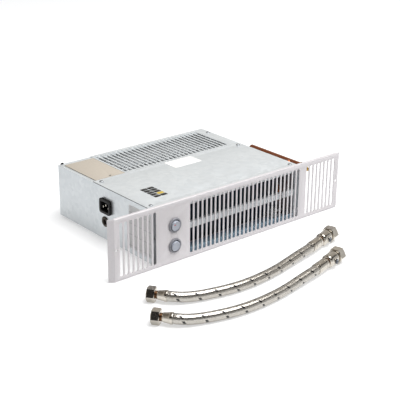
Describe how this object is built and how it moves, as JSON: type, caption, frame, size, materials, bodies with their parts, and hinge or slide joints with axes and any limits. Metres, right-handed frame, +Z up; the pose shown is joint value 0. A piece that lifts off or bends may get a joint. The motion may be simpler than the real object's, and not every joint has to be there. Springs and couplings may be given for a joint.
{
  "type": "plinth heater",
  "caption": "Low fan convector with a slotted plinth grille, sheet-steel case, finned coil, cross-flow fan, rocker switches, side mains inlet and loose braided connecting hoses.",
  "frame": {"origin": "on the floor, at the middle of the heater's width and depth, the loose hoses in front not counted", "axes": "+X along the grille towards the water pipes, +Y back from the grille's face to the rear wall, +Z up"},
  "size_m": [0.5339, 0.4739, 0.1031],
  "materials": {
    "zinc_steel": "galvanised sheet, dull spangle",
    "grille_silver": "satin silver paint",
    "beige_plastic": "matt",
    "black_plastic": "semi-matt moulded",
    "grey_lens": "gloss",
    "nickel": "nickel plate",
    "braid": "woven stainless wire with two dark tracer threads",
    "copper": "drawn copper, slightly tarnished",
    "brass": "turned brass",
    "aluminium": "mill finish",
    "rubber": "matt black",
    "white_plastic": "moulded"
  },
  "bodies": {
    "heater": {"fascia_grille": "grille_silver", "left_side_panel": "zinc_steel", "right_side_panel": "zinc_steel", "base_tray": "zinc_steel", "front_cover": "zinc_steel", "intake_panel": "zinc_steel", "control_cover": "beige_plastic", "cross_rail": "zinc_steel", "front_rail": "zinc_steel", "partition": "zinc_steel", "foot_front_left": "rubber", "foot_front_right": "rubber", "foot_rear_left": "rubber", "foot_rear_right": "rubber", "screw_left_front": "nickel", "screw_left_middle": "nickel", "screw_right_front": "nickel", "screw_right_middle": "nickel", "screw_right_rear": "nickel", "switch_upper_body": "black_plastic", "switch_lower_body": "black_plastic", "mains_inlet": "black_plastic", "inlet_pin_left": "nickel", "inlet_pin_earth": "nickel", "inlet_pin_right": "nickel", "cable_grommet": "rubber", "terminal_block": "white_plastic", "fan_scroll": "zinc_steel", "fan_bearing": "rubber", "fan_motor": "aluminium", "coil_fins": "aluminium", "coil_bend_left_1": "copper", "coil_bend_left_2": "copper", "coil_bend_left_3": "copper", "coil_bend_right_1": "copper", "coil_bend_right_2": "copper", "flow_pipe": "copper", "return_pipe": "copper", "air_vent_body": "brass", "flow_thermostat": "black_plastic", "sensor_plug": "white_plastic", "sensor_lead": "rubber", "hose_1_tube": "braid", "hose_1_plain_ferrule": "nickel", "hose_1_valve_ferrule": "nickel", "hose_1_valve_body": "nickel", "hose_2_tube": "braid", "hose_2_plain_ferrule": "nickel", "hose_2_valve_ferrule": "nickel", "hose_2_valve_body": "nickel"},
    "fan": {"fan_rotor": "aluminium"},
    "upper_rocker": {"switch_upper_rocker": "grey_lens"},
    "lower_rocker": {"switch_lower_rocker": "grey_lens"},
    "vent_screw": {"air_vent_screw": "brass"},
    "swivel_nut_1": {"hose_1_swivel_nut": "nickel"},
    "swivel_nut_2": {"hose_2_swivel_nut": "nickel"},
    "compression_nut_1": {"hose_1_compression_nut": "nickel"},
    "compression_nut_2": {"hose_2_compression_nut": "nickel"},
    "valve_screw_1": {"hose_1_valve_screw": "brass"},
    "valve_screw_2": {"hose_2_valve_screw": "brass"}
  },
  "joints": [
    {"name": "fan_spin", "type": "hinge", "parent": "heater", "child": "fan", "pos_m": [0.02, 0.08633, 0.056], "axis": [1, 0, 0], "continuous": true},
    {"name": "upper_rocker_tilt", "type": "hinge", "parent": "heater", "child": "upper_rocker", "pos_m": [-0.1264, -0.13117, 0.0642], "axis": [1, 0, 0], "range_deg": [-16, 0]},
    {"name": "lower_rocker_tilt", "type": "hinge", "parent": "heater", "child": "lower_rocker", "pos_m": [-0.1264, -0.13117, 0.0296], "axis": [1, 0, 0], "range_deg": [-16, 0]},
    {"name": "vent_screw_turn", "type": "hinge", "parent": "heater", "child": "vent_screw", "pos_m": [0.172, -0.1235, 0.086], "axis": [0, 1, 0], "range_deg": [0, 180]},
    {"name": "swivel_nut_1_turn", "type": "hinge", "parent": "heater", "child": "swivel_nut_1", "pos_m": [-0.23778, -0.20795, 0.01075], "axis": [0.6018, -0.7986, 0], "continuous": true},
    {"name": "swivel_nut_2_turn", "type": "hinge", "parent": "heater", "child": "swivel_nut_2", "pos_m": [-0.27398, -0.26605, 0.01075], "axis": [0.6018, -0.7986, 0], "continuous": true},
    {"name": "compression_nut_1_turn", "type": "hinge", "parent": "heater", "child": "compression_nut_1", "pos_m": [0.0623, -0.24537, 0.012], "axis": [0.9613, 0.2756, 0], "continuous": true},
    {"name": "compression_nut_2_turn", "type": "hinge", "parent": "heater", "child": "compression_nut_2", "pos_m": [0.0094, -0.30847, 0.012], "axis": [0.9681, 0.2504, 0], "continuous": true},
    {"name": "valve_screw_1_turn", "type": "hinge", "parent": "heater", "child": "valve_screw_1", "pos_m": [0.10633, -0.23275, 0.012], "axis": [-0.2756, 0.9613, 0], "range_deg": [0, 90]},
    {"name": "valve_screw_2_turn", "type": "hinge", "parent": "heater", "child": "valve_screw_2", "pos_m": [0.05374, -0.297, 0.012], "axis": [-0.2504, 0.9681, 0], "range_deg": [0, 90]}
  ]
}
